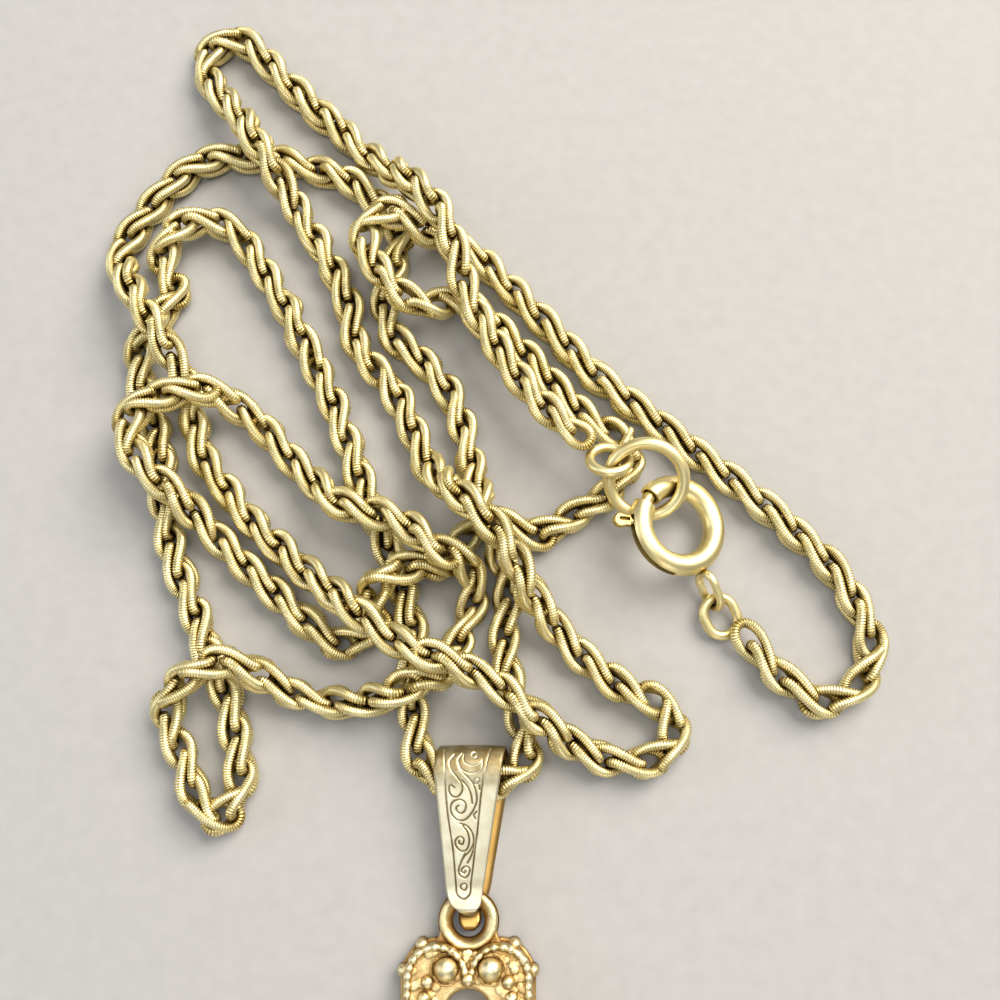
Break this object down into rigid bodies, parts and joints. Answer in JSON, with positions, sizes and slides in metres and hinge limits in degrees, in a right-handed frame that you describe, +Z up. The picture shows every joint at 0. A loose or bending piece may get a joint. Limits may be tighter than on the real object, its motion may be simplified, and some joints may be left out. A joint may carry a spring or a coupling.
{
  "type": "cross necklace",
  "caption": "Gold-tone cross pendant with granulated double-lobed arm ends, on an engraved bail and a textured rope chain with a spring-ring clasp, lying in a tangle.",
  "frame": {"origin": "middle of the necklace's outline seen from above, on the surface it lies on", "axes": "+X to the right, +Y from the cross's foot to the far end of the chain, +Z up from the surface"},
  "size_m": [0.055, 0.104, 0.0068],
  "materials": {
    "chain": "gold-plated brass, satin, ridged wire",
    "clasp": "gold-plated brass, polished and worn",
    "rings": "gold-plated brass, polished and worn",
    "bail": "paler gold-plated brass, satin, engraved front",
    "cross": "gold-plated brass, satin, darker in the recesses"
  },
  "bodies": {
    "necklace": {"chain_run_01": "chain", "chain_run_02": "chain", "chain_run_03": "chain", "chain_run_04": "chain", "chain_run_05": "chain", "chain_run_06": "chain", "chain_run_07": "chain", "chain_run_08": "chain", "chain_run_09": "chain", "chain_run_10": "chain", "chain_run_11": "chain", "chain_run_12": "chain", "chain_run_13": "chain", "chain_run_14": "chain", "chain_run_15": "chain", "chain_run_16": "chain", "chain_run_17": "chain", "chain_run_18": "chain", "chain_run_19": "chain", "chain_run_20": "chain", "chain_run_21": "chain", "chain_run_22": "chain", "chain_run_23": "chain", "chain_run_24": "chain", "chain_run_25": "chain", "chain_run_26": "chain", "chain_run_27": "chain", "chain_run_28": "chain", "clasp_body": "clasp", "end_ring": "rings", "large_jump_ring": "rings", "small_jump_ring": "rings", "bail": "bail", "cross": "cross"},
    "gate": {"clasp_gate": "clasp"}
  },
  "joints": [
    {"name": "clasp_gate_slide", "type": "hinge", "parent": "necklace", "child": "gate", "pos_m": [0.0135, 0.0124, 0.0024], "axis": [0.3579, 0.0523, 0.9323], "range_deg": [0, 50], "stiffness_Nm_per_rad": 0.004}
  ]
}
